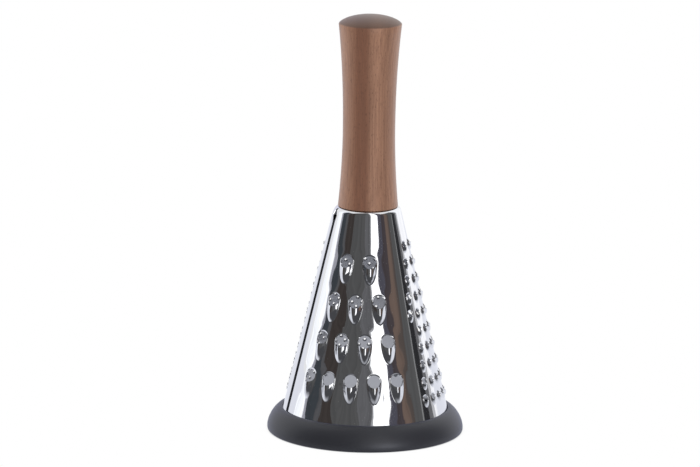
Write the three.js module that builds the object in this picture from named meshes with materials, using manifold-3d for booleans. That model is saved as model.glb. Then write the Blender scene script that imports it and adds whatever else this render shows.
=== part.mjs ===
// Conical hand grater: a turned wooden handle on a punched and rolled steel cone with a rubber base ring.
// Millimetres, +Z up. The origin is the centre of the base, on the table. The coarse teeth face -Y.
import * as THREE from 'three';
import { mergeVertices } from 'three/addons/utils/BufferGeometryUtils.js';
import Module from 'manifold-3d';

const wasm = await Module();
wasm.setup();

// Sizes of the steel cone
const sheet = 0.5;              // wall of the rolled sheet
const footRadius = 53.3;        // outer wall at its lower edge, inside the rubber
const footLift = 3.5;           // lower edge above the table
const neckRadius = 19.7;        // outer wall carried up to the flat top
const coneTop = 140.8;          // flat top above the table
const shoulderRadius = 3;       // rounded turn from the wall to the flat top
const neckHoleRadius = 9;       // hole that the shoulder leaves round the handle's spigot
const seamWidth = 7;            // welded lap, between the coarse and the fine panel
const seamAngle = -71.5;        // the lap's edge, in degrees round from the -Y side
const notchWidth = 1.4;         // slot where the lap's edge meets the shoulder
const notchLength = 4.8;

// Sizes of the rubber ring
const ringHeight = 14.6;        // upper edge above the table
const ringFlare = 7;            // how far the ring stands out past the cone's lower edge
const ringLip = 0.7;            // rubber at the upper edge
const ringWidest = 2.6;         // height of the widest line
const ringHeelRound = 1.4;      // rounding down to the table
const ringInnerWall = 2.2;      // rubber inside the cone
const ringInnerHeight = 9;      // top of the rubber inside the cone

// Sizes of the handle
const handleLength = 118.2;     // seat to the top of the dome
const handleFootRadius = 18.4;
const handleWaistRadius = 16;
const handleRimRadius = 19.3;
const domeRise = 5.6;           // rim to the top of the dome
const rimRound = 1.6;           // soft edge under and over the rim line
const spigotRadius = 8.6;       // short boss that centres the handle in the cone

// Sizes of the fixing
const plateRadius = 17;
const plateThickness = 1.5;
const washerRadius = 8;
const washerThickness = 1.2;
const screwRadius = 2.5;
const screwLength = 45;         // under the head to the point
const screwHeadRadius = 4.6;
const screwHeadHeight = 3;
const fixingHoleRadius = 2.9;   // through washer, plate and into the handle

const fit = 0.3;                // clearance between pieces that seat on each other
const overrun = 4;              // how far cutting bodies run past what they cut

// Grating panels, each with its tooth's sizes, lowest row first. A panel's rows start evenly on both sides of
// its centre line, in degrees, and are then moved along by a share of the pitch.
const coarse = {
  hood: 4.4, reach: 13.4, lowest: 40.5, rise: 23.5, pitch: 14.25, centre: -11.8, movedShare: 0,
  counts: [5, 4, 3, 2], sides: 12,
};
const medium = {
  hood: 2.6, reach: 4.7, lowest: 27, rise: 10.25, pitch: 8.05, centre: 109, movedShare: -0.5,
  counts: [12, 11, 10, 9, 8, 9, 8, 7, 6, 5], sides: 5,
};
const fine = {
  pierced: 1.1, burr: 1.9, stand: 0.9, lowest: 27, rise: 7.6, pitch: 7.6, centre: -137, movedShare: 0,
  counts: [11, 10, 9, 10, 9, 8, 9, 8, 7, 6, 7, 6, 5],
};

// Shares of the sizes above
const waistShare = 0.41;        // waist's height on the handle
const lowerFlarePower = 1.8;
const upperFlarePower = 2.2;
const flareFullness = 0.8;      // below 1 the ring's flare is flatter than a quarter ellipse
const domeFullness = 2.6;       // above 2 the handle's dome is fuller than a parabola
const pointShare = 0.25;        // part of the screw that tapers
const buriedShare = 1.5;        // how far a punch's point lies past its tooth's tip
const steepness = 12;           // how much taller the burr's opening is than the burr
const softStart = 0.1;          // turn in radians that the shoulder's arc leaves to the wall

// Counts of facets
const rolled = 40;
const turned = 36;
const smallTurned = 18;
const shoulderSteps = 3;
const flareSteps = 5;
const handleSteps = 6;
const domeSteps = 4;

const coneSlope = (footRadius - neckRadius) / (coneTop - footLift);
const halfAngle = Math.atan(coneSlope);
const outerRadius = (z) => neckRadius + coneSlope * (coneTop - z);
const innerWallShift = sheet / Math.cos(halfAngle);
const innerRadius = (z) => outerRadius(z) - innerWallShift;

function toSolid(geometry) {
  geometry.deleteAttribute('normal');
  geometry.deleteAttribute('uv');
  const merged = mergeVertices(geometry);
  const corners = [];
  const index = merged.index.array;
  for (let i = 0; i < index.length; i += 3) {
    const [a, b, c] = [index[i], index[i + 1], index[i + 2]];
    if (a !== b && b !== c && c !== a) corners.push(a, b, c);
  }
  const places = merged.attributes.position.array;
  const outward = signedVolume(places, corners) > 0;
  if (!outward) corners.reverse();
  return new wasm.Manifold(new wasm.Mesh({
    numProp: 3,
    vertProperties: Float32Array.from(places),
    triVerts: Uint32Array.from(corners),
  }));
}

function signedVolume(places, corners) {
  const point = (i) => new THREE.Vector3().fromArray(places, 3 * i);
  let volume = 0;
  for (let i = 0; i < corners.length; i += 3) {
    volume += point(corners[i]).dot(point(corners[i + 1]).cross(point(corners[i + 2])));
  }
  return volume;
}

function toGeometry(solid) {
  const mesh = solid.getMesh();
  const geometry = new THREE.BufferGeometry();
  geometry.setAttribute('position', new THREE.BufferAttribute(mesh.vertProperties, 3));
  geometry.setIndex(new THREE.BufferAttribute(mesh.triVerts, 1));
  geometry.computeVertexNormals();
  return geometry;
}

// A profile of [radius, height] points turned round the Z axis.
function revolve(profile, segments = turned) {
  const points = profile.map(([r, z]) => new THREE.Vector2(r, z));
  return toSolid(new THREE.LatheGeometry(points, segments).rotateX(Math.PI / 2));
}

// Points on an arc, angles in radians from the outward radius towards +Z.
function arc([r, z], radius, from, to, steps) {
  return Array.from({ length: steps + 1 }, (_, i) => {
    const angle = from + ((to - from) * i) / steps;
    return [r + radius * Math.cos(angle), z + radius * Math.sin(angle)];
  });
}

// A full cone up to its point, its radius at each height given by a function.
function fullCone(radiusAt, low) {
  const height = radiusAt(low) / coneSlope;
  const cone = new THREE.ConeGeometry(radiusAt(low), height, rolled);
  return toSolid(cone.rotateX(Math.PI / 2).translate(0, 0, low + height / 2));
}

// The shoulder's arc runs from the sloping wall to the flat top. Its inner side is one sheet less.
const shoulderCentre = [
  outerRadius(coneTop - shoulderRadius) - shoulderRadius / Math.cos(halfAngle),
  coneTop - shoulderRadius,
];

function shoulderBlock(inset, low) {
  const wide = footRadius + 2 * overrun;
  const round = arc(shoulderCentre, shoulderRadius - inset, halfAngle + softStart, Math.PI / 2, shoulderSteps);
  return revolve([[0, low], [wide, low], [wide, round[0][1]], ...round, [0, coneTop - inset]], rolled);
}

// The cone as a full body, up to its outer face.
function coneBody() {
  return fullCone(outerRadius, footLift).intersect(shoulderBlock(0, footLift - overrun));
}

// What the sheet encloses, with the hole in the neck and past the open foot.
function coneHollow() {
  const low = footLift - overrun;
  const neck = new THREE.CylinderGeometry(neckHoleRadius, neckHoleRadius, 2 * overrun, smallTurned);
  neck.rotateX(Math.PI / 2).translate(0, 0, coneTop);
  return fullCone(innerRadius, low).intersect(shoulderBlock(sheet, low - overrun)).add(toSolid(neck));
}

// A frame on the outer wall: x runs round to the right, y up the wall and z straight out of it.
function onWall(degrees, z) {
  const angle = THREE.MathUtils.degToRad(degrees);
  const out = new THREE.Vector3(Math.sin(angle), -Math.cos(angle), 0);
  const up = new THREE.Vector3(0, 0, 1);
  const across = new THREE.Vector3(Math.cos(angle), Math.sin(angle), 0);
  const alongWall = up.clone().multiplyScalar(Math.cos(halfAngle)).addScaledVector(out, -Math.sin(halfAngle));
  const normal = out.clone().multiplyScalar(Math.cos(halfAngle)).addScaledVector(up, Math.sin(halfAngle));
  const place = out.clone().multiplyScalar(outerRadius(z)).setZ(z);
  return new THREE.Matrix4().makeBasis(across, alongWall, normal).setPosition(place);
}

function panelFrames(panel) {
  return panel.counts.flatMap((count, row) => {
    const z = panel.lowest + row * panel.rise;
    const step = THREE.MathUtils.radToDeg(panel.pitch / outerRadius(z));
    const first = panel.centre + (panel.movedShare - (count - 1) / 2) * step;
    return Array.from({ length: count }, (_, i) => onWall(first + i * step, z));
  });
}

// A closed body from a ring of points to one point behind it and one before it.
function spindle(ring, behind, before) {
  const sides = ring.map((_, i) => [i + 2, ((i + 1) % ring.length) + 2]);
  const geometry = new THREE.BufferGeometry().setFromPoints([behind, before, ...ring]);
  return geometry.setIndex(sides.flatMap(([a, b]) => [0, a, b, 1, b, a]));
}

// A punch driven up under the sheet at a slant, in the wall's frame. Its ring is the tooth's lip, which
// leans back so that the opening looks round from straight in front. Its point lies buried below the tip.
function slantedPunch(radius, tooth, height) {
  const slant = Math.asin(tooth.hood / tooth.reach);
  const lean = (1 - Math.sin(slant)) / Math.cos(slant);
  const lip = Array.from({ length: tooth.sides }, (_, i) => {
    const turn = (2 * Math.PI * i) / tooth.sides;
    const over = Math.cos(slant) - lean * Math.sin(slant);
    return new THREE.Vector3(Math.sin(turn), -Math.cos(turn), over * Math.cos(turn)).multiplyScalar(radius);
  });
  const reach = (tooth.reach * radius) / tooth.hood;
  const tip = new THREE.Vector3(0, -reach, 0);
  const point = tip.clone().addScaledVector(tip.clone().sub(lip[0]), buriedShare);
  return spindle(lip, point, new THREE.Vector3(0, 0, height));
}

function scoopHood(tooth) {
  return slantedPunch(tooth.hood, tooth, 0);
}

function scoopHollow(tooth) {
  return slantedPunch(tooth.hood - sheet, tooth, tooth.hood * overrun);
}

// A pierced burr: a three-sided pyramid pushed out of the sheet, its tip opened by a longer, steeper one.
// Its sides run down into the sheet.
function burrOutside(tooth) {
  const apex = (tooth.stand * tooth.burr) / (tooth.burr - tooth.pierced);
  const sunk = sheet / 2;
  const width = (tooth.burr * (apex + sunk)) / apex;
  const pyramid = new THREE.ConeGeometry(width, apex + sunk, 3);
  return pyramid.rotateX(Math.PI / 2).translate(0, 0, (apex - sunk) / 2);
}

function burrOpening(tooth) {
  const sunk = 2 * sheet;
  const apex = tooth.stand * steepness;
  const width = (tooth.pierced * (apex + sunk)) / (apex - tooth.stand);
  const pyramid = new THREE.ConeGeometry(width, apex + sunk, 3);
  return pyramid.rotateX(Math.PI / 2).translate(0, 0, (apex - sunk) / 2);
}

function placed(geometry, frame) {
  return toSolid(geometry.clone().applyMatrix4(frame));
}

function joined(solids) {
  return solids.reduce((all, next) => all.add(next));
}

// The lapped end of the sheet, one sheet proud of the wall, from the ring to the shoulder. Its edge faces the
// coarse panel. Its inner part goes with the hollow.
function seamLap() {
  const low = ringHeight + ringLip;
  const high = shoulderCentre[1];
  const strip = new THREE.BoxGeometry(seamWidth, footRadius + overrun, high - low);
  strip.translate(-seamWidth / 2, (-footRadius - overrun) / 2, (low + high) / 2);
  strip.rotateZ(THREE.MathUtils.degToRad(seamAngle));
  return fullCone((z) => outerRadius(z) + innerWallShift, footLift).intersect(toSolid(strip));
}

// The slot that lets the sheet's two ends turn in over the shoulder.
function seamNotch() {
  const deep = 2 * (sheet + overrun);
  const slot = new THREE.BoxGeometry(notchWidth, notchLength, deep);
  return placed(slot, onWall(seamAngle, shoulderCentre[1]));
}

function gratingCone() {
  const scoops = [coarse, medium].flatMap((tooth) => panelFrames(tooth).map((frame) => ({ tooth, frame })));
  const burrs = panelFrames(fine);
  const raised = joined([
    coneBody(),
    seamLap(),
    ...scoops.map(({ tooth, frame }) => placed(scoopHood(tooth), frame)),
    ...burrs.map((frame) => placed(burrOutside(fine), frame)),
  ]);
  const cuts = joined([
    coneHollow(),
    seamNotch(),
    ...scoops.map(({ tooth, frame }) => placed(scoopHollow(tooth), frame)),
    ...burrs.map((frame) => placed(burrOpening(fine), frame)),
  ]);
  return raised.subtract(cuts);
}

// The flare runs from the upper edge to the widest line, fuller than a cone and flatter than an ellipse.
function ringFlareCurve(lipRadius, widestRadius) {
  return Array.from({ length: flareSteps + 1 }, (_, i) => {
    const angle = ((Math.PI / 2) * (flareSteps - i)) / flareSteps;
    const across = Math.pow(Math.cos(angle), 1 / flareFullness);
    const up = Math.pow(Math.sin(angle), 1 / flareFullness);
    return [lipRadius + (widestRadius - lipRadius) * across, ringWidest + (ringHeight - ringWidest) * up];
  });
}

function baseRing() {
  const widest = footRadius + ringFlare;
  const wallGap = fit / Math.cos(halfAngle);
  const grooveFloor = footLift - fit;
  return revolve([
    [outerRadius(ringHeight) + wallGap, ringHeight],
    ...ringFlareCurve(outerRadius(ringHeight) + wallGap + ringLip, widest),
    [widest - ringHeelRound / 2, ringHeelRound / 2],
    [widest - ringHeelRound, 0],
    [innerRadius(ringHeelRound) - wallGap - ringInnerWall, 0],
    [innerRadius(ringInnerHeight) - wallGap - ringInnerWall, ringInnerHeight],
    [innerRadius(ringInnerHeight) - wallGap, ringInnerHeight],
    [innerRadius(grooveFloor) - wallGap, grooveFloor],
    [outerRadius(grooveFloor) + wallGap, grooveFloor],
    [outerRadius(ringHeight) + wallGap, ringHeight],
  ]);
}

const handleSeat = coneTop + fit;
const handleRim = handleSeat + handleLength - domeRise;
const handleWaist = handleSeat + (handleRim - handleSeat) * waistShare;
const plateTop = coneTop - sheet - fit;
const washerTop = plateTop - plateThickness - fit;
const headTop = washerTop - washerThickness - fit;

function flare(from, to, endRadius, power) {
  return Array.from({ length: handleSteps }, (_, i) => {
    const share = 1 - i / handleSteps;
    const radius = handleWaistRadius + (endRadius - handleWaistRadius) * Math.pow(share, power);
    return [radius, to + (from - to) * share];
  });
}

// A low dome, fuller than a part of a sphere.
function dome(rimRadius, base, rise) {
  return Array.from({ length: domeSteps + 1 }, (_, i) => {
    const share = 1 - i / domeSteps;
    return [rimRadius * share, base + rise * (1 - Math.pow(share, domeFullness))];
  });
}

function handle() {
  const boreTop = headTop + screwLength + fit;
  const rimEdge = handleRim - rimRound;
  const outline = [
    ...flare(handleSeat, handleWaist, handleFootRadius, lowerFlarePower),
    [handleWaistRadius, handleWaist],
    ...flare(rimEdge, handleWaist, handleRimRadius, upperFlarePower).reverse(),
    ...dome(handleRimRadius - rimRound / 4, handleRim, domeRise),
  ];
  return revolve([
    [0, boreTop + fixingHoleRadius],
    [fixingHoleRadius, boreTop],
    [fixingHoleRadius, plateTop + fit],
    [spigotRadius, plateTop + fit],
    [spigotRadius, handleSeat],
    ...outline.slice(0, -1),
    [0, handleRim + domeRise],
  ]);
}

function drilledDisc(radius, thickness, top) {
  return revolve([
    [fixingHoleRadius, top - thickness],
    [radius, top - thickness],
    [radius, top],
    [fixingHoleRadius, top],
    [fixingHoleRadius, top - thickness],
  ], smallTurned);
}

function handleScrew() {
  const crown = screwHeadHeight / 4;
  const point = screwLength * pointShare;
  return revolve([
    [0, headTop - screwHeadHeight],
    [screwHeadRadius - crown, headTop - screwHeadHeight],
    [screwHeadRadius, headTop - screwHeadHeight + crown],
    [screwHeadRadius, headTop],
    [screwRadius, headTop],
    [screwRadius, headTop + screwLength - point],
    [0, headTop + screwLength],
  ], smallTurned);
}

const steel = { color: 0xb9bbbe, roughness: 0.12, metalness: 1 };
const wood = { color: 0x8a5f4a, roughness: 0.55, metalness: 0 };
const rubber = { color: 0x3a3a3e, roughness: 0.8, metalness: 0 };
const zinc = { color: 0xa8a9a6, roughness: 0.4, metalness: 1 };

function piece(name, solid, look) {
  const mesh = new THREE.Mesh(toGeometry(solid), new THREE.MeshStandardMaterial(look));
  mesh.name = name;
  return mesh;
}

const grater = new THREE.Group();
grater.add(
  piece('base_ring', baseRing(), rubber),
  piece('grating_cone', gratingCone(), steel),
  piece('top_plate', drilledDisc(plateRadius, plateThickness, plateTop), zinc),
  piece('washer', drilledDisc(washerRadius, washerThickness, washerTop), zinc),
  piece('handle_screw', handleScrew(), zinc),
  piece('handle', handle(), wood),
);

export default grater;
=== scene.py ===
# %% [markdown]
# # A conical hand grater
# The real object has a turned wooden handle, a cone of thin stainless sheet that is punched with
# three panels of teeth, and a soft rubber ring at its foot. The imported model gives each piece's
# place and outer size, so the lesson starts by loading it. Blender then makes the fine surfaces
# round it.

# %% Load the frame
import math
import bmesh
import bpy
from mathutils import Matrix, Vector


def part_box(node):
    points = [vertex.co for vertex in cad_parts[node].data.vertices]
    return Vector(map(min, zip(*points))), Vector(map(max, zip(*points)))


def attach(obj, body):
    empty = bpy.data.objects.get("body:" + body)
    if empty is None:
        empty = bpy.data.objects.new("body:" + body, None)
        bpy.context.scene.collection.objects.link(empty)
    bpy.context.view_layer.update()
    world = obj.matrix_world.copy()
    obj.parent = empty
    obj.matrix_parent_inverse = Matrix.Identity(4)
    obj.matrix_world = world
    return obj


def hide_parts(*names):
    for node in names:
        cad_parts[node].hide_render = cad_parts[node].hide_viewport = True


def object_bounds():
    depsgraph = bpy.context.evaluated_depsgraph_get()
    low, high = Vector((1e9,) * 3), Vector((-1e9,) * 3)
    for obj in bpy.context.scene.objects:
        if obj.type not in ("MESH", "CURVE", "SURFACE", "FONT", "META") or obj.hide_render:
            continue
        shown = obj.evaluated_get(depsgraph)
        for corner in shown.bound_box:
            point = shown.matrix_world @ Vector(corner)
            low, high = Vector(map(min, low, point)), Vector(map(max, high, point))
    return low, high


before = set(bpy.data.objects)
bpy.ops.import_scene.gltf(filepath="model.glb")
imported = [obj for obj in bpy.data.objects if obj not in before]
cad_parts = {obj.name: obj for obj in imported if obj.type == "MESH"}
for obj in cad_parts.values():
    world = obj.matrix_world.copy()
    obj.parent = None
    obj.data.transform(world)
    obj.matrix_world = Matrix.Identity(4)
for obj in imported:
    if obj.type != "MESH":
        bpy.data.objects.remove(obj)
cad_low, cad_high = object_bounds()
MM = 0.001
print("frame from", tuple(cad_low), "to", tuple(cad_high))

# %% [markdown]
# ## The camera
# The photograph was taken with a long lens from a little above the table. A camera could be matched
# to it by eye, but the ellipses that the ring, the cone and the handle's two ends make in it give
# its place and its angles more surely. The angles are in radians, and the focal length is in pixels
# of the photograph.

# %% Camera
PHOTO_WIDTH = 700
FOCAL_PIXELS = 6000
SENSOR = 36
FAR_CLIP = 50
CAMERA_PLACE = Vector((0, -3588.8, 920.4)) * MM
CAMERA_YAW = -0.003
CAMERA_PITCH = 0.2186
CAMERA_ROLL = 0.0129

camera = bpy.data.objects.new("camera", bpy.data.cameras.new("camera"))
camera.data.sensor_width = SENSOR
camera.data.lens = FOCAL_PIXELS * SENSOR / PHOTO_WIDTH
camera.data.clip_end = FAR_CLIP
turn = Matrix.Rotation(-CAMERA_YAW, 4, "Z") @ Matrix.Rotation(math.pi / 2 - CAMERA_PITCH, 4, "X")
camera.matrix_world = Matrix.Translation(CAMERA_PLACE) @ turn @ Matrix.Rotation(CAMERA_ROLL, 4, "Z")
bpy.context.scene.collection.objects.link(camera)
bpy.context.scene.camera = camera
print("camera lens", round(camera.data.lens, 1), "mm")

# %% [markdown]
# ## Small helpers
# A finished piece is a mesh object at the origin that rides on the model's one body. Normals are
# worked out again after a spin, because a spin can turn a shape inside out. Colours are written as
# the sRGB hex values that a painter would pick, and one function turns them to the linear values
# that the shaders need.

# %% Helpers for pieces
MERGE_DISTANCE = 0.001 * MM


def object_from(name, bm, material):
    """Turns a bmesh into an object of the scene, in one material."""
    mesh = bpy.data.meshes.new(name)
    bm.to_mesh(mesh)
    bm.free()
    made = bpy.data.objects.new(name, mesh)
    bpy.context.scene.collection.objects.link(made)
    mesh.materials.append(material)
    return made


def finish_piece(name, bm, material, replaces):
    """A smooth piece of the grater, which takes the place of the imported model's own solids."""
    bmesh.ops.recalc_face_normals(bm, faces=bm.faces)
    piece = object_from(name, bm, material)
    for polygon in piece.data.polygons:
        polygon.use_smooth = True
    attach(piece, "root")
    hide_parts(*replaces)
    print(name, len(piece.data.polygons), "faces")
    return piece


def spun(outline, steps):
    """A profile of (radius, height) points in metres, turned once round the Z axis."""
    bm = bmesh.new()
    corners = [bm.verts.new((radius, 0, height)) for radius, height in outline]
    edges = [bm.edges.new(pair) for pair in zip(corners, corners[1:])]
    bmesh.ops.spin(bm, geom=corners + edges, cent=(0, 0, 0), axis=(0, 0, 1), angle=2 * math.pi,
                   steps=steps, use_merge=True)
    bmesh.ops.remove_doubles(bm, verts=bm.verts, dist=MERGE_DISTANCE)
    return bm


def smooth_step(share):
    """Rises softly from 0 to 1 as the share does, and stays level before and after."""
    share = min(max(share, 0), 1)
    return share * share * (3 - 2 * share)


print("a smooth step is", smooth_step(0.25), "at a quarter of its way")

# %% Helpers for colours and materials
def linear(hex_colour):
    """An sRGB hex colour as linear red, green, blue and an alpha of 1."""
    parts = [int(hex_colour[i:i + 2], 16) / 255 for i in (1, 3, 5)]
    return tuple(p / 12.92 if p <= 0.04045 else ((p + 0.055) / 1.055) ** 2.4 for p in parts) + (1,)


def add_node(material, kind, links=(), **settings):
    """Adds a shader node. Settings name its properties or its sockets, links join other sockets to it."""
    node = material.node_tree.nodes.new(kind)
    for key, value in settings.items():
        if hasattr(node, key):
            setattr(node, key, value)
        else:
            node.inputs[key.replace("_", " ")].default_value = value
    for socket, source in dict(links).items():
        material.node_tree.links.new(source, node.inputs[socket])
    return node


def new_material(name):
    """A material with an empty node tree."""
    material = bpy.data.materials.new(name)
    material.use_nodes = True
    material.node_tree.nodes.clear()
    return material


print("middle grey is", round(linear("#808080")[0], 3), "in linear light")

# %% [markdown]
# ## Polished stainless steel
# The cone is stainless sheet, buffed to a mirror before it was punched. To the eye it has hardly a
# colour of its own: it shows what stands round it, slightly greyed and a touch cool. A perfectly
# flat mirror would look drawn, because rolled sheet never is one, so a faint wave in the normals
# lets the lines in it waver.

# %% Materials: polished and mill-finished stainless steel
SHEET_WAVE = 22 * MM
SHEET_WAVE_HEIGHT = 3 * MM


def polished_steel():
    material = new_material("polished stainless steel")
    place = add_node(material, "ShaderNodeTexCoord")
    wave = add_node(material, "ShaderNodeTexNoise", {"Vector": place.outputs["Object"]},
                    Scale=1 / SHEET_WAVE, Detail=1)
    bump = add_node(material, "ShaderNodeBump", {"Height": wave.outputs["Fac"]}, Strength=0.03,
                    Distance=SHEET_WAVE_HEIGHT)
    metal = add_node(material, "ShaderNodeBsdfPrincipled", {"Normal": bump.outputs["Normal"]},
                     Base_Color=linear("#E2E3E6"), Metallic=1, Roughness=0.06)
    add_node(material, "ShaderNodeOutputMaterial", {"Surface": metal.outputs["BSDF"]})
    return material


def mill_steel():
    """The sheet's inner side is never buffed. It keeps the dull grey skin of the rolling mill."""
    material = new_material("mill-finished stainless steel")
    metal = add_node(material, "ShaderNodeBsdfPrincipled", Base_Color=linear("#D4D5D8"), Metallic=1,
                     Roughness=0.32)
    add_node(material, "ShaderNodeOutputMaterial", {"Surface": metal.outputs["BSDF"]})
    return material


steel = polished_steel()
inner_steel = mill_steel()
print("made", steel.name, "and", inner_steel.name)

# %% [markdown]
# ## Oiled hardwood
# The handle is turned from one reddish-brown board, and its surface is only oiled. Three things
# make it read as wood. The growth layers stand upright in the board, so they run the whole length
# of the handle, and one broad dark streak runs with them. The fibres draw fine streaks along it.
# The pores are short dark dashes. The domed end is darker, partly as end grain, which drinks more
# oil, and partly as painted shade for the dim light from above. A flat texture would smear over
# that end, so all of it is solid texture in Object coordinates, as if it were cut from one block. Real
# pores are about 0.2 mm wide and real fibres
# finer still, too fine for the render, so both are drawn coarser.

# %% Sizes and colours of the wood
GROWTH_LAYER = 5.5 * MM
LAYER_WANDER = 2.6 * MM
WANDER_WIDTH = 14 * MM
WANDER_LENGTH = 160 * MM
HEART_STREAK = -4.8 * MM
HEART_STREAK_HALF_WIDTH = 6.8 * MM
HEART_STREAK_CORE = HEART_STREAK_HALF_WIDTH / 3
FIBRE_WIDTH = 0.9 * MM
FIBRE_LENGTH = 45 * MM
FIBRE_SHARE = 0.4
PORE_WIDTH = 0.45 * MM
PORE_LENGTH = 2.2 * MM
PORE_DEPTH = 0.06 * MM
PORE_SHARE = 0.4
# The domed end darkens: end grain, plus painted shade for the dim light from above.
END_GRAIN_AND_SHADE_FROM = 254 * MM
END_GRAIN_AND_SHADE_TO = 254.8 * MM
END_GRAIN_AND_SHADE_SHARE = 0.8

DARK_LAYER = linear("#9B7159")
LIGHT_LAYER = linear("#AF8268")
STREAK_COLOUR = linear("#865A44")
FIBRE_COLOUR = linear("#6E4A3A")
END_GRAIN_AND_SHADE_COLOUR = linear("#4C3529")
PORE_COLOUR = linear("#4A2E24")
print("growth layers", round(GROWTH_LAYER / MM, 1), "mm wide")

# %% Material: oiled hardwood
def stretched_noise(material, place, width, length, detail):
    """Noise whose grains are this wide and, along Z, this long."""
    long_grain = add_node(material, "ShaderNodeMapping", {"Vector": place}, Scale=(1, 1, width / length))
    return add_node(material, "ShaderNodeTexNoise", {"Vector": long_grain.outputs["Vector"]},
                    Scale=1 / width, Detail=detail).outputs["Fac"]


def blended(material, share, first, second):
    """A mix of a colour or socket with a second colour, by the share that a socket gives."""
    mix = add_node(material, "ShaderNodeMix", data_type="RGBA")
    for socket, value in ((mix.inputs[0], share), (mix.inputs[6], first), (mix.inputs[7], second)):
        if isinstance(value, bpy.types.NodeSocket):
            material.node_tree.links.new(value, socket)
        else:
            socket.default_value = value
    return mix.outputs[2]


def oiled_hardwood():
    material = new_material("oiled hardwood")
    place = add_node(material, "ShaderNodeTexCoord").outputs["Object"]
    axes = add_node(material, "ShaderNodeSeparateXYZ", {"Vector": place})
    wander = stretched_noise(material, place, WANDER_WIDTH, WANDER_LENGTH, 2)
    shift = add_node(material, "ShaderNodeMapRange", {"Value": wander}, To_Min=-LAYER_WANDER,
                     To_Max=LAYER_WANDER)
    across = add_node(material, "ShaderNodeMath", {0: axes.outputs["X"], 1: shift.outputs["Result"]})
    layers = add_node(material, "ShaderNodeMath", {0: across.outputs[0]}, operation="PINGPONG")
    layers.inputs[1].default_value = GROWTH_LAYER
    layer_share = add_node(material, "ShaderNodeMapRange", {"Value": layers.outputs[0]},
                           From_Max=GROWTH_LAYER)
    colour = blended(material, layer_share.outputs["Result"], DARK_LAYER, LIGHT_LAYER)
    from_streak = add_node(material, "ShaderNodeMath", {0: across.outputs[0]}, operation="SUBTRACT")
    from_streak.inputs[1].default_value = HEART_STREAK
    off_streak = add_node(material, "ShaderNodeMath", {0: from_streak.outputs[0]}, operation="ABSOLUTE")
    streak = add_node(material, "ShaderNodeMapRange", {"Value": off_streak.outputs[0]},
                      interpolation_type="SMOOTHSTEP", From_Min=HEART_STREAK_HALF_WIDTH,
                      From_Max=HEART_STREAK_CORE)
    colour = blended(material, streak.outputs["Result"], colour, STREAK_COLOUR)
    fibres = stretched_noise(material, place, FIBRE_WIDTH, FIBRE_LENGTH, 3)
    fibre_share = add_node(material, "ShaderNodeMapRange", {"Value": fibres}, From_Min=0.35, From_Max=0.65,
                           To_Max=FIBRE_SHARE)
    colour = blended(material, fibre_share.outputs["Result"], colour, FIBRE_COLOUR)
    # Darker domed end: end grain, plus painted shade for the dim light from above.
    end_grain_and_shade = add_node(material, "ShaderNodeMapRange", {"Value": axes.outputs["Z"]},
                         From_Min=END_GRAIN_AND_SHADE_FROM, From_Max=END_GRAIN_AND_SHADE_TO, To_Max=END_GRAIN_AND_SHADE_SHARE)
    colour = blended(material, end_grain_and_shade.outputs["Result"], colour, END_GRAIN_AND_SHADE_COLOUR)
    pores = stretched_noise(material, place, PORE_WIDTH, PORE_LENGTH, 1)
    pore = add_node(material, "ShaderNodeMapRange", {"Value": pores}, From_Min=0.6, From_Max=0.72)
    pore_share = add_node(material, "ShaderNodeMath", {0: pore.outputs["Result"]}, operation="MULTIPLY")
    pore_share.inputs[1].default_value = PORE_SHARE
    colour = blended(material, pore_share.outputs[0], colour, PORE_COLOUR)
    relief = add_node(material, "ShaderNodeBump", {"Height": pore.outputs["Result"]}, Strength=0.25,
                      Distance=-PORE_DEPTH)
    wood = add_node(material, "ShaderNodeBsdfPrincipled",
                    {"Base Color": colour, "Normal": relief.outputs["Normal"]}, Roughness=0.4, IOR=1.5,
                    Sheen_Weight=0.12, Sheen_Roughness=0.4)
    add_node(material, "ShaderNodeOutputMaterial", {"Surface": wood.outputs["BSDF"]})
    return material


hardwood = oiled_hardwood()
print("made", hardwood.name)

# %% [markdown]
# ## Moulded rubber and plain fixing steel
# The ring is soft black rubber from a finely textured mould: charcoal, matt, with a wide soft sheen
# where it turns away to the sides. The shader's own sheen gives that, with no paint on the sides, but
# its cool blue tint is painted: it stands in for the bluish light that the sides reflect.
# The mould's grain is really about 0.1 mm wide, too fine to show, and is drawn coarser. The plate,
# the washer and the screw inside the cone are plain zinc-coated steel, duller than the cone, with
# the faint blotches of the coating.

# %% Materials: moulded rubber, zinc-coated steel
MOULD_GRAIN = 0.5 * MM
MOULD_GRAIN_DEPTH = 0.05 * MM
ZINC_BLOTCH = 2.5 * MM


def moulded_rubber():
    material = new_material("moulded black rubber")
    place = add_node(material, "ShaderNodeTexCoord")
    grain = add_node(material, "ShaderNodeTexNoise", {"Vector": place.outputs["Object"]},
                     Scale=1 / MOULD_GRAIN, Detail=2)
    relief = add_node(material, "ShaderNodeBump", {"Height": grain.outputs["Fac"]}, Strength=0.35,
                      Distance=MOULD_GRAIN_DEPTH)
    # The sheen's blue tint is painted: it stands in for the cool light of the screens at the sides.
    rubber = add_node(material, "ShaderNodeBsdfPrincipled", {"Normal": relief.outputs["Normal"]},
                      Base_Color=linear("#25262C"), Roughness=0.46, IOR=1.5,
                      Sheen_Weight=0.22, Sheen_Roughness=0.35, Sheen_Tint=linear("#B8C4FF"))
    add_node(material, "ShaderNodeOutputMaterial", {"Surface": rubber.outputs["BSDF"]})
    return material


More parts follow.
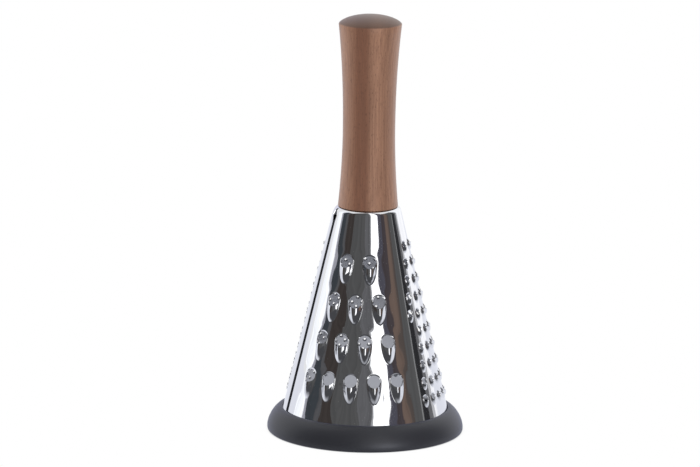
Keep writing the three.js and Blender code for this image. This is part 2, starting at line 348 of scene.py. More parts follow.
def zinc_coated_steel():
    material = new_material("zinc-coated steel")
    place = add_node(material, "ShaderNodeTexCoord")
    blotch = add_node(material, "ShaderNodeTexNoise", {"Vector": place.outputs["Object"]},
                      Scale=1 / ZINC_BLOTCH, Detail=3)
    dullness = add_node(material, "ShaderNodeMapRange", {"Value": blotch.outputs["Fac"]}, To_Min=0.26,
                        To_Max=0.44)
    colour = blended(material, blotch.outputs["Fac"], linear("#A9ABAA"), linear("#C4C6C8"))
    zinc = add_node(material, "ShaderNodeBsdfPrincipled",
                    {"Base Color": colour, "Roughness": dullness.outputs["Result"]}, Metallic=1)
    add_node(material, "ShaderNodeOutputMaterial", {"Surface": zinc.outputs["BSDF"]})
    return material


black_rubber = moulded_rubber()
zinc_steel = zinc_coated_steel()
print("made", black_rubber.name, "and", zinc_steel.name)

# %% [markdown]
# ## The sheet as a flat pattern
# The holes could be cut from a finished cone with booleans, but those leave ragged faces that a
# mirror shows. A punched cone is easiest to make as its maker does: the pattern is laid flat, the
# teeth are punched in it, and then it is rolled. The flat pattern has the angle round the cone
# along X, the distance up the wall along Y, and the height above the sheet along Z. One function
# says where a point of it comes to lie. It also lifts the end that laps over the seam, whose upper
# corner springs up a little, and pulls the sheet up slightly round the coarse teeth, as punching
# does.

# %% Sizes of the cone
SHEET = 0.5 * MM
NECK_RADIUS = 19.7 * MM
SHOULDER_RADIUS = 3 * MM
NECK_HOLE = 9 * MM
SEAM_DEGREES = -71.5
SEAM_LAP = 7 * MM
SEAM_JOGGLE = 7 * MM
SEAM_LIFT = 0.8 * MM
CORNER_LIFT = 0.8 * MM
CORNER_REACH = 7 * MM
NOTCH_HALF_WIDTH = 0.7 * MM
NOTCH_REACH = 2.4 * MM
SKIRT_RISE = 0.3 * MM
SKIRT_WIDTH = 3.2 * MM
SKIRT_LIMIT = 24 * MM
PATTERN_RADIUS = 36 * MM

cone_low, cone_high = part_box("grating_cone")
FOOT_RADIUS = cone_high.x
FOOT = cone_low.z
TOP = cone_high.z
SLOPE = (FOOT_RADIUS - NECK_RADIUS) / (TOP - FOOT)
TILT = math.atan(SLOPE)
ARC_RADIUS_AT = NECK_RADIUS + SLOPE * SHOULDER_RADIUS - SHOULDER_RADIUS / math.cos(TILT)
ARC_HEIGHT = TOP - SHOULDER_RADIUS
WALL = (ARC_HEIGHT + SHOULDER_RADIUS * math.sin(TILT) - FOOT) / math.cos(TILT)
ARC = SHOULDER_RADIUS * (math.pi / 2 - TILT)
PATTERN_TOP = WALL + ARC + ARC_RADIUS_AT - NECK_HOLE
print("wall", round(WALL / MM, 1), "mm, shoulder", round(ARC / MM, 1), "mm")

# %% Where a point of the pattern lies on the rolled cone
def outline_at(slant):
    """Radius and height of the sheet's outer face, and the radius and height parts of its normal."""
    if slant < WALL:
        return (FOOT_RADIUS - slant * math.sin(TILT), FOOT + slant * math.cos(TILT),
                math.cos(TILT), math.sin(TILT))
    angle = min(TILT + (slant - WALL) / SHOULDER_RADIUS, math.pi / 2)
    flat = max(slant - WALL - ARC, 0)
    return (ARC_RADIUS_AT + SHOULDER_RADIUS * math.cos(angle) - flat,
            ARC_HEIGHT + SHOULDER_RADIUS * math.sin(angle), math.cos(angle), math.sin(angle))


def seam_lift(angle, slant):
    """How far the overlapping end of the sheet stands off, before its edge and below the notch."""
    radius = outline_at(min(slant, WALL))[0]
    before_edge = (math.radians(SEAM_DEGREES + 360) - angle) * radius
    along = 1 - smooth_step((before_edge - SEAM_LAP) / SEAM_JOGGLE)
    below = 1 - smooth_step((slant - WALL + NOTCH_REACH) / (2 * NOTCH_REACH))
    corner = smooth_step(1 - before_edge / SEAM_LAP) * smooth_step((slant - WALL) / CORNER_REACH + 1)
    return (SEAM_LIFT * along + CORNER_LIFT * corner) * below


def skirt_lift(angle, slant):
    """How far the sheet is pulled up round the coarse teeth. It fades with the distance from them."""
    still_flat = 1
    for tooth_angle, tooth_slant in coarse_places:
        up = slant - tooth_slant
        across = (angle - tooth_angle) * outline_at(slant)[0]
        if max(abs(up), abs(across)) > SKIRT_LIMIT:
            continue
        reach = (COARSE["reach"] if up < 0 else COARSE["brow"]) * MM
        half = COARSE["half"] * MM
        away = max(math.hypot(across / half, up / reach) - 1, 0) * half
        still_flat *= 1 - math.exp(-(away / SKIRT_WIDTH) ** 2)
    return SKIRT_RISE * (1 - still_flat)


def rolled(flat):
    """Where a point of the flat pattern comes to lie."""
    angle = flat.x / PATTERN_RADIUS
    radius, height, out, up = outline_at(flat.y)
    lift = flat.z + seam_lift(angle, flat.y) + skirt_lift(angle, flat.y)
    radius += out * lift
    return Vector((radius * math.sin(angle), -radius * math.cos(angle), height + up * lift))


def wall_normal(flat):
    """The plain sheet's normal, from two short steps along it."""
    step = 0.05 * MM
    plain = Vector((flat.x, flat.y, 0))
    across = rolled(plain + Vector((step, 0, 0))) - rolled(plain - Vector((step, 0, 0)))
    along = rolled(plain + Vector((0, step, 0))) - rolled(plain - Vector((0, step, 0)))
    return across.cross(along).normalized()


print("the wall meets the shoulder at a radius of", round(outline_at(WALL)[0] / MM, 1), "mm")

# %% [markdown]
# ## The teeth
# A punch tears the sheet and pushes it up in front of the tear. The coarse and medium teeth are low
# scoops below a round opening: a ridge climbs from the tip to the opening, and the sides fall off
# from it like a rounded gable. The fine ones are craters with a torn rim. Each kind is made once,
# from a spoke that is spun round the opening, because the opening then has clean rings of faces
# round it. Its points are then drawn out to the punch's form. In the tables of sizes, hole is the
# opening's radius and half the tooth's half width, reach goes down to its tip, brow goes up behind
# the opening, stand is the height and dip how far the sheet sinks at the brow. Lowest, rise and
# pitch place the rows and the teeth in a row. All these are in millimetres, centre is in degrees
# round the cone, and moved is in pitches. Spokes and rings say how finely a tooth is divided.

# %% Sizes of the teeth
COARSE = dict(hole=4.0, half=4.35, reach=13.4, brow=4.9, stand=2.7, dip=0.35, spokes=28,
              rings=(0, 0.22, 0.42, 0.6, 0.76, 0.88, 0.96, 1, 1.035, 1.09),
              centre=-11.8, lowest=40.5, rise=23.5, pitch=14.25, moved=0, counts=(5, 4, 3, 2))
MEDIUM = dict(hole=2.1, half=2.55, reach=4.9, brow=2.7, stand=1.6, dip=0.2, spokes=16,
              rings=(0, 0.35, 0.65, 0.87, 1, 1.06, 1.14),
              centre=109, lowest=27, rise=10.25, pitch=8.05, moved=-0.5,
              counts=(12, 11, 10, 9, 8, 9, 8, 7, 6, 5))
FINE = dict(hole=1.05, half=1.5, reach=1.5, brow=1.5, stand=0.75, dip=0, spokes=8,
            rings=(0, 0.55, 1.12),
            centre=-141.5, lowest=24, rise=3.2, pitch=6.2, moved=0)
FINE_ROWS = 30
FINE_HALF_ANGLE = 50.5


def slant_of(height_mm):
    """The distance up the wall at a height above the table."""
    return (height_mm * MM - FOOT) / math.cos(TILT)


def staggered_counts(tooth, rows, half_angle):
    """Odd and even counts in turn, as many as find room, so that the rows stand staggered."""
    counts = []
    for row in range(rows):
        radius = outline_at(slant_of(tooth["lowest"] + row * tooth["rise"]))[0] / MM
        half_width = radius * math.radians(half_angle) / tooth["pitch"]
        counts.append(2 * int(half_width + 0.5) if row % 2 else 2 * int(half_width) + 1)
    return tuple(counts)


FINE["counts"] = staggered_counts(FINE, FINE_ROWS, FINE_HALF_ANGLE)
print("teeth in all:", sum(sum(kind["counts"]) for kind in (COARSE, MEDIUM, FINE)))

# %% How high the punch pushes the sheet
RIDGE_ROUND = 0.85
RIDGE_ROUND_AT_TIP = 0.3
SCOOP_FOOT = 0.16
SCOOP_FOOT_FROM = 0.94
SCOOP_FOOT_WIDTH = 0.14
SCOOP_FADE = 0.8
CRATER_PEAK = 1.15
CRATER_NOTCH = 0.75
CRATER_FOOT = 0.12
NEARLY_ZERO = 0.0001


def scoop_height(tooth, side, up):
    """Height of the punched sheet over a point that is given in millimetres from the opening's middle."""
    along = up / (tooth["reach"] if up < 0 else tooth["brow"])
    distance = math.hypot(side / tooth["half"], along)
    ridge = max(1 - abs(along) ** 3, 0) ** 0.5
    from_ridge = min(abs(side) / (tooth["half"] * max(1 - along * along, NEARLY_ZERO) ** 0.5), 1)
    rounding = RIDGE_ROUND_AT_TIP + (RIDGE_ROUND - RIDGE_ROUND_AT_TIP) * (1 - abs(along))
    gable = 1 - (math.hypot(from_ridge, rounding) - rounding) / (math.hypot(1, rounding) - rounding)
    foot = SCOOP_FOOT * (1 - smooth_step((distance - SCOOP_FOOT_FROM) / SCOOP_FOOT_WIDTH))
    height = tooth["stand"] * max(ridge * gable, foot)
    fade = 1 - smooth_step(up / (SCOOP_FADE * tooth["hole"]))
    near = 1 - smooth_step((math.hypot(side, up) - tooth["hole"]) / (tooth["brow"] - tooth["hole"]))
    return height * fade - tooth["dip"] * near * smooth_step(up / tooth["hole"])


def crater_height(tooth, ring, odd):
    """Height of a fine tooth's torn rim, whose points stand up and down in turn."""
    if ring > 1:
        return 0
    torn = CRATER_PEAK if odd else CRATER_NOTCH
    return tooth["stand"] * (1 - ring) * torn + CRATER_FOOT * ring * tooth["stand"]


print("a coarse ridge stands", round(scoop_height(COARSE, 0, -COARSE["hole"]), 2), "mm high")

# %% Punch one tooth of a kind
SPIN_SLACK = 0.001


def punched_tooth(tooth):
    """One tooth in millimetres on a flat sheet, its opening round the origin and its tip towards -Y."""
    bm = bmesh.new()
    spoke = [bm.verts.new((0, -1 - ring, 0)) for ring in tooth["rings"]]
    edges = [bm.edges.new(pair) for pair in zip(spoke, spoke[1:])]
    bmesh.ops.spin(bm, geom=spoke + edges, cent=(0, 0, 0), axis=(0, 0, 1), angle=2 * math.pi,
                   steps=tooth["spokes"], use_merge=True)
    for vertex in bm.verts:
        reach = vertex.co.length
        side, up = vertex.co.x / reach, vertex.co.y / reach
        ring = reach - 1
        lengths = []
        for limit in (tooth["half"], tooth["reach"] if up < 0 else tooth["brow"]):
            inside = tooth["hole"] + (limit - tooth["hole"]) * ring
            lengths.append(inside if ring < 1 else limit * ring)
        flat_side, flat_up = side * lengths[0], up * lengths[1]
        if tooth is FINE:
            spoke_number = round(math.atan2(side, up) / (2 * math.pi) * tooth["spokes"])
            height = crater_height(tooth, ring, spoke_number % 2)
        else:
            height = scoop_height(tooth, flat_side, flat_up)
        if ring > tooth["rings"][-1] - SPIN_SLACK:
            height = 0
        vertex.co = (flat_side, flat_up, height)
    mesh = bpy.data.meshes.new("tooth")
    bm.to_mesh(mesh)
    bm.free()
    print("a tooth of", len(mesh.polygons), "faces")
    return mesh

# %% Lay the teeth on the pattern
def tooth_places(tooth):
    """The angle and the distance up the wall of each tooth, row by row from the lowest."""
    for row, count in enumerate(tooth["counts"]):
        slant = slant_of(tooth["lowest"] + row * tooth["rise"])
        radius = outline_at(slant)[0]
        for number in range(count):
            across = (number - (count - 1) / 2 + tooth["moved"]) * tooth["pitch"] * MM
            angle = math.radians(tooth["centre"]) + across / radius
            if angle < math.radians(SEAM_DEGREES):
                angle += 2 * math.pi
            yield angle, slant


def lay_teeth(bm, tooth):
    template = punched_tooth(tooth)
    amount = 0
    for angle, slant in tooth_places(tooth):
        before = len(bm.verts)
        bm.from_mesh(template)
        bm.verts.ensure_lookup_table()
        for vertex in bm.verts[before:]:
            flat = vertex.co * MM
            radius = outline_at(slant + flat.y)[0]
            vertex.co = ((angle + flat.x / radius) * PATTERN_RADIUS, slant + flat.y, flat.z)
        amount += 1
    bpy.data.meshes.remove(template)
    print(amount, "teeth laid")


coarse_places = list(tooth_places(COARSE))
pattern = bmesh.new()
for kind in (COARSE, MEDIUM, FINE):
    lay_teeth(pattern, kind)

# %% [markdown]
# The sheet between the teeth is one fill between their feet and the pattern's outline. It is then
# cut by many upright lines, so that it can bend round the cone, and by level ones, so that it can
# bend over the shoulder and rise a little round the coarse teeth. The outline has a tongue that
# goes under the other end, and a notch where the seam meets the bend. Above the notch a thin slit
# stays open between the two ends.

# %% Outline of the pattern
TONGUE_STEPS = 12
SLIT_ANGLE = 0.004


def pattern_outline():
    start = math.radians(SEAM_DEGREES)
    end = start + 2 * math.pi
    notch_low, notch_high = WALL - NOTCH_REACH, WALL + NOTCH_REACH
    notch = NOTCH_HALF_WIDTH / outline_at(WALL)[0]
    tongue = [notch_low * step / TONGUE_STEPS for step in range(TONGUE_STEPS + 1)]
    points = [(start - SEAM_LAP / outline_at(slant)[0], slant) for slant in tongue]
    points += [(start + notch, notch_low), (start + notch, notch_high), (start + SLIT_ANGLE, notch_high),
               (start + SLIT_ANGLE, PATTERN_TOP), (end, PATTERN_TOP), (end, notch_high),
               (end - notch, notch_high), (end - notch, notch_low), (end, notch_low), (end, 0)]
    return [Vector((angle * PATTERN_RADIUS, slant, 0)) for angle, slant in points]


def fill_pattern(bm):
    feet = [edge for edge in bm.edges if edge.is_boundary and all(v.co.z == 0 for v in edge.verts)]
    corners = [bm.verts.new(point) for point in pattern_outline()]
    rim = [bm.edges.new((corners[i - 1], corners[i])) for i in range(len(corners))]
    made = bmesh.ops.triangle_fill(bm, use_beauty=True, edges=feet + rim, normal=(0, 0, 1))
    print("filled with", len([f for f in made["geom"] if isinstance(f, bmesh.types.BMFace)]), "faces")


fill_pattern(pattern)

# %% Cut it where it has to bend
COLUMN_DEGREES = 3.5
TONGUE_DEGREES = 20
LEVEL_STEP = 4 * MM
SHOULDER_CUTS = 9
CUT_SNAP = 0.02 * MM


def cut(bm, place, direction):
    everything = bm.verts[:] + bm.edges[:] + bm.faces[:]
    bmesh.ops.bisect_plane(bm, geom=everything, dist=CUT_SNAP, plane_co=place, plane_no=direction)


column = SEAM_DEGREES - TONGUE_DEGREES
while column < SEAM_DEGREES + 360:
    cut(pattern, (math.radians(column) * PATTERN_RADIUS, 0, 0), (1, 0, 0))
    column += COLUMN_DEGREES
for number in range(1, int(WALL / LEVEL_STEP)):
    cut(pattern, (0, number * LEVEL_STEP, 0), (0, 1, 0))
for number in range(SHOULDER_CUTS + 1):
    cut(pattern, (0, WALL + ARC * number / SHOULDER_CUTS, 0), (0, 1, 0))
print("pattern has", len(pattern.faces), "faces")

# %% [markdown]
# A mirror shows every small error in the way that its faces are shaded. So the plain wall's corners
# get the cone's own normals, which are kept in a layer while the sheet is rolled and given its
# thickness. The hoods keep the normals that Blender works out, and the sheared edges stay sharp.

# %% Roll the pattern and give the sheet its thickness
def roll_pattern(bm):
    plain = bm.verts.layers.float_vector.new("plain_normal")
    places = {}
    for vertex in bm.verts:
        flat = vertex.co.copy()
        if flat.z == 0:
            vertex[plain] = wall_normal(flat)
        places[vertex] = rolled(flat)
    for vertex, place in places.items():
        vertex.co = place


def add_thickness(bm):
    """Solidifies the sheet inwards, and gives the faces that look inwards the second material."""
    bm.normal_update()
    outer = bm.faces[:]
    bmesh.ops.solidify(bm, geom=outer, thickness=SHEET)
    bmesh.ops.recalc_face_normals(bm, faces=bm.faces)
    for face in bm.faces:
        out_from_axis = Vector((face.calc_center_median().x, face.calc_center_median().y, 0))
        face.material_index = int(face.normal.dot(out_from_axis) < 0)


roll_pattern(pattern)
add_thickness(pattern)
sheet = finish_piece("grating_cone_sheet", pattern, steel, replaces=["grating_cone"])
sheet.data.materials.append(inner_steel)

# %% Shade the plain wall as a true cone
SHARP_ON_SHEET = math.radians(50)
SAME_WAY = 0.7


def shade_plain_wall(mesh):
    mesh.set_sharp_from_angle(angle=SHARP_ON_SHEET)
    plain = mesh.attributes["plain_normal"].data
    corner_normals = [Vector()] * len(mesh.loops)
    amount = 0
    for polygon in mesh.polygons:
        for loop in polygon.loop_indices:
            normal = Vector(plain[mesh.loops[loop].vertex_index].vector)
            facing = normal.dot(polygon.normal)
            if abs(facing) > SAME_WAY:
                corner_normals[loop] = normal if facing > 0 else -normal
                amount += 1
    mesh.normals_split_custom_set(corner_normals)
    mesh.attributes.remove(mesh.attributes["plain_normal"])
    print(amount, "of", len(corner_normals), "corners shaded as the plain wall")


shade_plain_wall(sheet.data)

# %% [markdown]
# ## The handle
# The handle is turned on a lathe. A stack of cylinders could be bevelled to its form, but a profile
# spun round the axis is what a lathe does, and gives the long curves at once. It is waisted, flares
# to a crisp rim and closes with a low dome. Below its seat a short boss goes into the cone's neck,
# and a bore takes the screw.

# %% Sizes of the handle
handle_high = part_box("handle")[1]
plate_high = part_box("top_plate")[1]
screw_low, screw_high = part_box("handle_screw")
FIT = 0.3 * MM
SEAT = TOP + FIT
RIM_RADIUS = handle_high.x
DOME_RISE = 5.4 * MM
RIM = handle_high.z - DOME_RISE
DOME_FULLNESS = 2.2
DOME_SHOULDER = 0.7
DOME_STEPS = 20
WAIST_RADIUS = 16 * MM
WAIST_SHARE = 0.41
WAIST = SEAT + WAIST_SHARE * (RIM - SEAT)
HANDLE_FOOT_RADIUS = 18.4 * MM
FOOT_FLARE = 1.8
RIM_FLARE = 2.2
HANDLE_FLARE_STEPS = 16
SPIGOT_RADIUS = 8.6 * MM
BORE_RADIUS = 2.9 * MM
TURNED_STEPS = 96
SHARP_ON_HANDLE = math.radians(32)
print("waist at", round(WAIST / MM, 1), "mm, rim at", round(RIM / MM, 1), "mm")

# %% Turn the handle
def flared(low, high, end_radius, power):
    """Points from a wide end, at the height low, to the waist, at the height high."""
    shares = [1 - step / HANDLE_FLARE_STEPS for step in range(HANDLE_FLARE_STEPS)]
    return [(WAIST_RADIUS + (end_radius - WAIST_RADIUS) * share ** power, high + (low - high) * share)
            for share in shares]


def dome_points():
    """From the rim to the top: a quick turn inwards at the rim, then fuller than a part of a sphere."""
    shares = [math.cos(math.pi / 2 * step / DOME_STEPS) for step in range(DOME_STEPS + 1)]
    return [(RIM_RADIUS * share, RIM + DOME_RISE * (1 - share ** DOME_FULLNESS) ** DOME_SHOULDER)
            for share in shares]


def handle_outline():
    lower = flared(SEAT, WAIST, HANDLE_FOOT_RADIUS, FOOT_FLARE)
    upper = flared(RIM, WAIST, RIM_RADIUS, RIM_FLARE)
    bore_top = screw_high.z + FIT
    inside = [(0, bore_top + BORE_RADIUS), (BORE_RADIUS, bore_top), (BORE_RADIUS, plate_high.z + FIT),
              (SPIGOT_RADIUS, plate_high.z + FIT), (SPIGOT_RADIUS, SEAT)]
    return inside + lower + [(WAIST_RADIUS, WAIST)] + upper[:0:-1] + dome_points()


handle = finish_piece("turned_handle", spun(handle_outline(), TURNED_STEPS), hardwood,
                      replaces=["handle"])
handle.data.set_sharp_from_angle(angle=SHARP_ON_HANDLE)

# %% [markdown]
# ## The rubber ring
# The ring is moulded, and it is stretched over the cone's lower edge, which sits in a groove. A
# torus would be too round: the outside flares out like a bell, fuller than a straight cone, and
# rolls under at the table. So it is a spun profile too, and its flare follows one power curve.

# %% Sizes of the ring
ring_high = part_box("base_ring")[1]
RING_TOP = ring_high.z
RING_WIDEST = 2.6 * MM
RING_LIP = 0.7 * MM
HEEL_ROUND = 1.4 * MM
INNER_RUBBER = 2.2 * MM
INNER_TOP = 9 * MM
RING_FLARE = 1 / 0.8
RING_FLARE_STEPS = 24
WALL_GAP = FIT / math.cos(TILT)
ARC_STEPS = 6
SHARP_ON_SMALL_PARTS = math.radians(40)
print("ring", round(2 * ring_high.x / MM, 1), "mm across")

# %% Mould the ring
def arc_points(centre, radius, start, end):
    """Points on an arc, its angles in degrees from the outward radius towards +Z."""
    angles = [math.radians(start + (end - start) * step / ARC_STEPS) for step in range(ARC_STEPS + 1)]
    return [(centre[0] + radius * math.cos(a), centre[1] + radius * math.sin(a)) for a in angles]


def wall_radius(height):
    return FOOT_RADIUS - (height - FOOT) * SLOPE


def inner_wall_radius(height):
    return wall_radius(height) - SHEET / math.cos(TILT)


def ring_flare(lip_radius, widest_radius):
    points = []
    for step in range(RING_FLARE_STEPS + 1):
        angle = math.pi / 2 * (1 - step / RING_FLARE_STEPS)
        out = abs(math.cos(angle)) ** RING_FLARE
        up = abs(math.sin(angle)) ** RING_FLARE
        points.append((lip_radius + (widest_radius - lip_radius) * out,
                       RING_WIDEST + (RING_TOP - RING_WIDEST) * up))
    return points


def ring_outline():
    lip = wall_radius(RING_TOP) + WALL_GAP
    groove_floor = FOOT - FIT
    heel = arc_points((ring_high.x - HEEL_ROUND, HEEL_ROUND), HEEL_ROUND, 0, -90)
    inside_top = inner_wall_radius(INNER_TOP) - WALL_GAP
    return ([(lip, RING_TOP)] + ring_flare(lip + RING_LIP, ring_high.x) + heel
            + [(inner_wall_radius(HEEL_ROUND) - WALL_GAP - INNER_RUBBER, 0),
               (inside_top - INNER_RUBBER, INNER_TOP), (inside_top, INNER_TOP),
               (inner_wall_radius(groove_floor) - WALL_GAP, groove_floor),
               (wall_radius(groove_floor) + WALL_GAP, groove_floor), (lip, RING_TOP)])


ring = finish_piece("moulded_ring", spun(ring_outline(), TURNED_STEPS), black_rubber,
                    replaces=["base_ring"])
ring.data.set_sharp_from_angle(angle=SHARP_ON_SMALL_PARTS)

# %% [markdown]
# ## The fixing inside the cone
# From below, the cone shows a steel disc, a washer and a screw head. The discs are drilled blanks
# with a broken edge. The screw is a wood screw: its rounded head has a cross-shaped recess for a
# driver. Its thread could be a bump in the material, but that leaves a smooth outline, so one small
# triangle climbs round the core in a helix.

# %% Disc and washer
EDGE_BREAK = 0.25 * MM
SMALL_STEPS = 64


def drilled_disc(name, node):
    low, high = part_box(node)
    outline = [(BORE_RADIUS, low.z), (high.x - EDGE_BREAK, low.z), (high.x, low.z + EDGE_BREAK),
               (high.x, high.z - EDGE_BREAK), (high.x - EDGE_BREAK, high.z), (BORE_RADIUS, high.z),
               (BORE_RADIUS, low.z)]
    disc = finish_piece(name, spun(outline, SMALL_STEPS), zinc_steel, replaces=[node])
    disc.data.set_sharp_from_angle(angle=SHARP_ON_SMALL_PARTS)


drilled_disc("pressed_top_plate", "top_plate")
drilled_disc("flat_washer", "washer")

# %% Sizes of the screw
HEAD_HEIGHT = 3 * MM
HEAD_ROUND = 1.6 * MM
SHANK_RADIUS = 2.5 * MM
CORE_RADIUS = 1.9 * MM
PLAIN_SHANK = 12 * MM
SCREW_POINT = 11 * MM
THREAD_PITCH = 2 * MM
THREAD_FOOT = 0.9 * MM
STEPS_A_TURN = 24
RECESS_REACH = 1.9 * MM
RECESS_HALF_WIDTH = 0.5 * MM
RECESS_DEPTH = 1.5 * MM
RECESS_TAPER = 0.8

under_head = screw_low.z + HEAD_HEIGHT
thread_from = under_head + PLAIN_SHANK
point_from = screw_high.z - SCREW_POINT
print("threaded over", round((point_from - thread_from) / MM, 1), "mm")

# %% Press its recess
def cross_corners():
    arm = [(RECESS_REACH, -RECESS_HALF_WIDTH), (RECESS_REACH, RECESS_HALF_WIDTH),
           (RECESS_HALF_WIDTH, RECESS_HALF_WIDTH)]
    return [Matrix.Rotation(quarter * math.pi / 2, 4, "Z") @ Vector((x, y, screw_low.z))
            for quarter in range(4) for x, y in arm]


def press_recess(bm):
    """Closes the head's open end with a flat that has a cross pressed into it."""
    rim = [edge for edge in bm.edges if edge.is_boundary]
    corners = [bm.verts.new(corner) for corner in cross_corners()]
    cross = [bm.edges.new((corners[i - 1], corners[i])) for i in range(len(corners))]
    bmesh.ops.triangle_fill(bm, use_beauty=True, edges=rim + cross, normal=(0, 0, -1))
    walls = bmesh.ops.extrude_edge_only(bm, edges=cross)["geom"]
    floor = [part for part in walls if isinstance(part, bmesh.types.BMVert)]
    bmesh.ops.scale(bm, vec=(RECESS_TAPER, RECESS_TAPER, 1), verts=floor)
    bmesh.ops.translate(bm, vec=(0, 0, RECESS_DEPTH), verts=floor)
    bmesh.ops.edgeloop_fill(bm, edges=[part for part in walls if isinstance(part, bmesh.types.BMEdge)
                                       and part.is_boundary])


screw_outline = [(0, screw_high.z), (CORE_RADIUS, point_from), (CORE_RADIUS, thread_from),
                 (SHANK_RADIUS, thread_from - CORE_RADIUS / 2), (SHANK_RADIUS, under_head),
                 (screw_high.x, under_head)]
screw_outline += arc_points((screw_high.x - HEAD_ROUND, screw_low.z + HEAD_ROUND), HEAD_ROUND, 0, -90)
screw_bm = spun(screw_outline, SMALL_STEPS)
press_recess(screw_bm)
print("screw blank with", len(screw_bm.faces), "faces")

# %% Cut its thread
def cut_thread(bm, start, end):
    """A triangle climbs round the core and is closed at both ends."""
    low, high, crest = [bm.verts.new(place) for place in (
        (CORE_RADIUS - EDGE_BREAK, 0, start), (CORE_RADIUS - EDGE_BREAK, 0, start + THREAD_FOOT),
        (SHANK_RADIUS, 0, start + THREAD_FOOT / 2))]
    first = bm.faces.new((low, high, crest))
    steps = round((end - start) / THREAD_PITCH * STEPS_A_TURN)
    bmesh.ops.spin(bm, geom=[first] + first.edges[:] + first.verts[:], cent=(0, 0, 0), axis=(0, 0, 1),
                   dvec=(0, 0, THREAD_PITCH / STEPS_A_TURN), angle=steps / STEPS_A_TURN * 2 * math.pi,
                   steps=steps)


cut_thread(screw_bm, thread_from, point_from - THREAD_FOOT)
screw = finish_piece("cross_head_wood_screw", screw_bm, zinc_steel,
                     replaces=["handle_screw"])
screw.data.set_sharp_from_angle(angle=SHARP_ON_SMALL_PARTS)

# %% [markdown]
# ## The studio
# A mirror is a picture of its room, so the room has to be built. A ready-made picture of a room
# could be wrapped round the scene, but plain strips are easier to place and need no image. Daylight
# falls in evenly from all round and above, over a white table and out of a white sky. The camera's
# side of the room is darker: a row of tall furnishings stands there, with one bright window strip
# between them, and paler screens stand farther round on both sides. Only reflections see them, so
# they don't stand in the camera's way or take daylight from the grater.

# %% The furnishings on the camera's side
ROOM_RADIUS = 1200 * MM
SCREEN_HEIGHT = 1500 * MM
ROOM_HEIGHT = 16000 * MM
STEEL_SHARE = 0.77
FOLD_WIDTH = 50 * MM
FOLD_LENGTH = 1000 * MM
FOLD_DARK = 0.7
FOLD_BRIGHT = 1.3
DEGREES_A_FACE = 3


def furnishing_material(name, seen_colour, strength):
    """A soft glow with upright folds, brighter than its colour by the share that steel swallows."""
    material = new_material(name)
    place = add_node(material, "ShaderNodeTexCoord").outputs["Object"]
    folds = stretched_noise(material, place, FOLD_WIDTH, FOLD_LENGTH, 1)
    level = add_node(material, "ShaderNodeMapRange", {"Value": folds},
                     To_Min=FOLD_DARK * strength / STEEL_SHARE,
                     To_Max=FOLD_BRIGHT * strength / STEEL_SHARE)
    glow = add_node(material, "ShaderNodeEmission", {"Strength": level.outputs["Result"]},
                    Color=linear(seen_colour))
    add_node(material, "ShaderNodeOutputMaterial", {"Surface": glow.outputs["Emission"]})
    material.cycles.emission_sampling = "NONE"
    return material


def furnishing(name, start, end, seen_colour, strength=1, height=SCREEN_HEIGHT):
    """An upright curved strip from one angle to another, in degrees round from the camera's side."""
    bm = bmesh.new()
    first = math.radians(start)
    place = Vector((ROOM_RADIUS * math.sin(first), -ROOM_RADIUS * math.cos(first), 0))
    foot = bm.verts.new(place + Vector((0, 0, cad_low.z)))
    head = bm.verts.new(place + Vector((0, 0, cad_low.z + height)))
    edge = bm.edges.new((foot, head))
    bmesh.ops.spin(bm, geom=[foot, head, edge], cent=(0, 0, 0), axis=(0, 0, 1),
                   angle=math.radians(end - start), steps=max(2, round((end - start) / DEGREES_A_FACE)))
    strip = object_from(name, bm, furnishing_material(name, seen_colour, strength))
    for ray in ("camera", "diffuse", "shadow", "transmission", "volume_scatter"):
        setattr(strip, "visible_" + ray, False)


furnishing("lavender screen", -176, -150, "#D2D2DE")
furnishing("lit screen", -116, -98, "#F8FAFD")
furnishing("screen fold", -97, -91, "#9C9CA4")
furnishing("blue curtain", -91, -76, "#383C40")
furnishing("grey wall left", -76, -68, "#505052")
furnishing("dark cupboard", -68, -46, "#3A3533", height=ROOM_HEIGHT)
furnishing("grey wall", -46, -8, "#4E4E4E", height=ROOM_HEIGHT)
furnishing("lens side wall", -8, 8, "#5C5C5E", height=ROOM_HEIGHT)
furnishing("window blind", 8, 11, "#9A9A9C", height=ROOM_HEIGHT)
furnishing("window strip", 11, 33, "#FFFFFF", 1.35, height=ROOM_HEIGHT)
furnishing("door frame", 33, 45, "#4C4B54", height=ROOM_HEIGHT)
furnishing("shadowed corner", 45, 57, "#433D3F", height=ROOM_HEIGHT)
furnishing("wooden door", 57, 68, "#66574F")
furnishing("door edge", 68, 73, "#524A46")
furnishing("grey wall right", 73, 87, "#505050")
furnishing("pale trim", 87, 89.5, "#808080")
furnishing("black curtain", 89.5, 101, "#2B2B2D")
furnishing("curtain edge", 101, 109, "#646466")
furnishing("screen edge", 109, 115, "#B4B4B6")
furnishing("pale screen", 115, 160, "#F6F6F8")
print("furnishings stand", ROOM_RADIUS, "m from the grater")

# %% [markdown]
# ## The table and the light
# The camera sees the table as plain white, with a soft dark rim where the ring shades it. In the
# steel it is white behind the grater and falls off to dark in front, as the room does. Inside the
# cone it is half dark for both, because little light gets in there. Diffuse light meets a pale matt
# table. The Light Path node tells these kinds of ray apart. The light comes from a plain white sky
# of strength 1, at which a colour renders about as it is written. One narrow light stands low in
# front, at the right. It is linked to the ring alone, where it gives the black rubber its soft
# sheen, because in the steel hoods its small bright reflection would look ragged.

# %% Table
TABLE_HALF_SIZE = 30
TABLE_SHADE_REACH = 40 * MM
TABLE_SHADE_LEVEL = 0.5
TABLE_WHITE_FROM = 10 * MM
TABLE_DARK_FROM = -130 * MM
TABLE_DARK_LEVEL = 0.08
TABLE_LEVEL_INSIDE = 0.6
OPEN_ENOUGH = 0.6


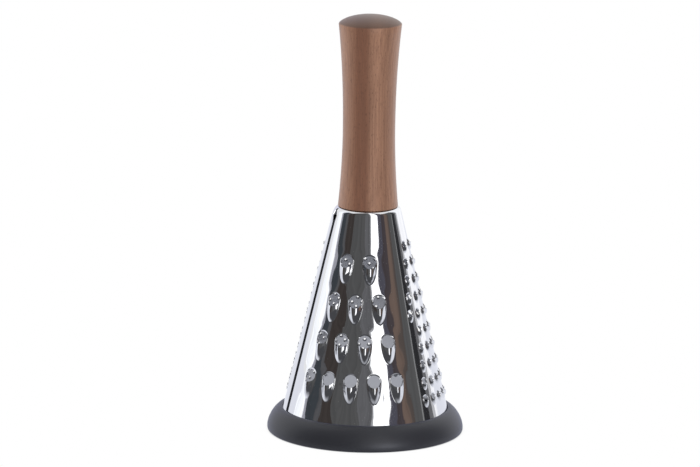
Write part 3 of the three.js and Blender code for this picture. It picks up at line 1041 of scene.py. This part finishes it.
def table_material():
    material = new_material("white studio table")
    path = add_node(material, "ShaderNodeLightPath")
    place = add_node(material, "ShaderNodeTexCoord").outputs["Object"]
    axes = add_node(material, "ShaderNodeSeparateXYZ", {"Vector": place})
    falloff = add_node(material, "ShaderNodeMapRange", {"Value": axes.outputs["Y"]},
                       interpolation_type="SMOOTHSTEP", From_Min=TABLE_DARK_FROM,
                       From_Max=TABLE_WHITE_FROM, To_Min=TABLE_DARK_LEVEL)
    from_axis = add_node(material, "ShaderNodeVectorMath", {"Vector": place}, operation="LENGTH")
    inside = add_node(material, "ShaderNodeMath", {0: from_axis.outputs["Value"]}, operation="LESS_THAN")
    inside.inputs[1].default_value = ring_high.x - HEEL_ROUND
    covered = add_node(material, "ShaderNodeAmbientOcclusion", samples=8, Distance=TABLE_SHADE_REACH)
    shade = add_node(material, "ShaderNodeMapRange", {"Value": covered.outputs["AO"]},
                     From_Max=OPEN_ENOUGH, To_Min=TABLE_SHADE_LEVEL)
    mirrored = add_node(material, "ShaderNodeMix", {0: inside.outputs[0], 2: falloff.outputs["Result"]})
    mirrored.inputs[3].default_value = TABLE_LEVEL_INSIDE
    shown_level = add_node(material, "ShaderNodeMix", {0: inside.outputs[0], 2: shade.outputs["Result"]})
    shown_level.inputs[3].default_value = TABLE_LEVEL_INSIDE
    to_camera = add_node(material, "ShaderNodeEmission", {"Strength": shown_level.outputs[0]})
    to_mirror = add_node(material, "ShaderNodeEmission", {"Strength": mirrored.outputs[0]},
                         Color=linear("#F5F7FF"))
    matt = add_node(material, "ShaderNodeBsdfDiffuse", Color=linear("#E6E6E6"))
    seen = add_node(material, "ShaderNodeMixShader", {0: path.outputs["Is Glossy Ray"],
                                                      1: matt.outputs[0], 2: to_mirror.outputs[0]})
    shown = add_node(material, "ShaderNodeMixShader", {0: path.outputs["Is Camera Ray"],
                                                       1: seen.outputs[0], 2: to_camera.outputs[0]})
    add_node(material, "ShaderNodeOutputMaterial", {"Surface": shown.outputs[0]})
    material.cycles.emission_sampling = "NONE"
    return material


table_bm = bmesh.new()
bmesh.ops.create_grid(table_bm, x_segments=1, y_segments=1, size=TABLE_HALF_SIZE)
table = object_from("table", table_bm, table_material())
table.location.z = cad_low.z
print("table at a height of", round(table.location.z, 4), "m")

# %% Low light on the ring
LOW_LIGHT_PLACE = Vector((268, -603, 60)) * MM
LOW_LIGHT_AIM = Vector((12, -58, 2)) * MM
LOW_LIGHT_RADIUS = 60 * MM
LOW_LIGHT_BEAM = math.radians(7)
LOW_LIGHT_WATTS = 20

low_light = bpy.data.lights.new("low side light", "SPOT")
low_light.energy = LOW_LIGHT_WATTS
low_light.color = linear("#EDF1FF")[:3]
low_light.spot_size = LOW_LIGHT_BEAM
low_light.spot_blend = 1
low_light.shadow_soft_size = LOW_LIGHT_RADIUS
low_lamp = bpy.data.objects.new("low side light", low_light)
beam = LOW_LIGHT_AIM - LOW_LIGHT_PLACE
low_lamp.matrix_world = Matrix.LocRotScale(LOW_LIGHT_PLACE, beam.to_track_quat("-Z", "Y"), None)
bpy.context.scene.collection.objects.link(low_lamp)
lit_alone = bpy.data.collections.new("lit by the low side light")
lit_alone.objects.link(ring)
low_lamp.light_linking.receiver_collection = lit_alone
print("low light", round(beam.length, 2), "m from the ring")

# %% Sky
sky = bpy.data.worlds.new("white studio")
sky.use_nodes = True
sky.cycles.sampling_method = "NONE"
bpy.context.scene.world = sky
sky_light = sky.node_tree.nodes["Background"]
sky_light.inputs["Color"].default_value = (1, 1, 1, 1)
sky_light.inputs["Strength"].default_value = 1
bpy.context.scene.view_settings.view_transform = "Standard"
print("sky of strength", sky_light.inputs["Strength"].default_value)
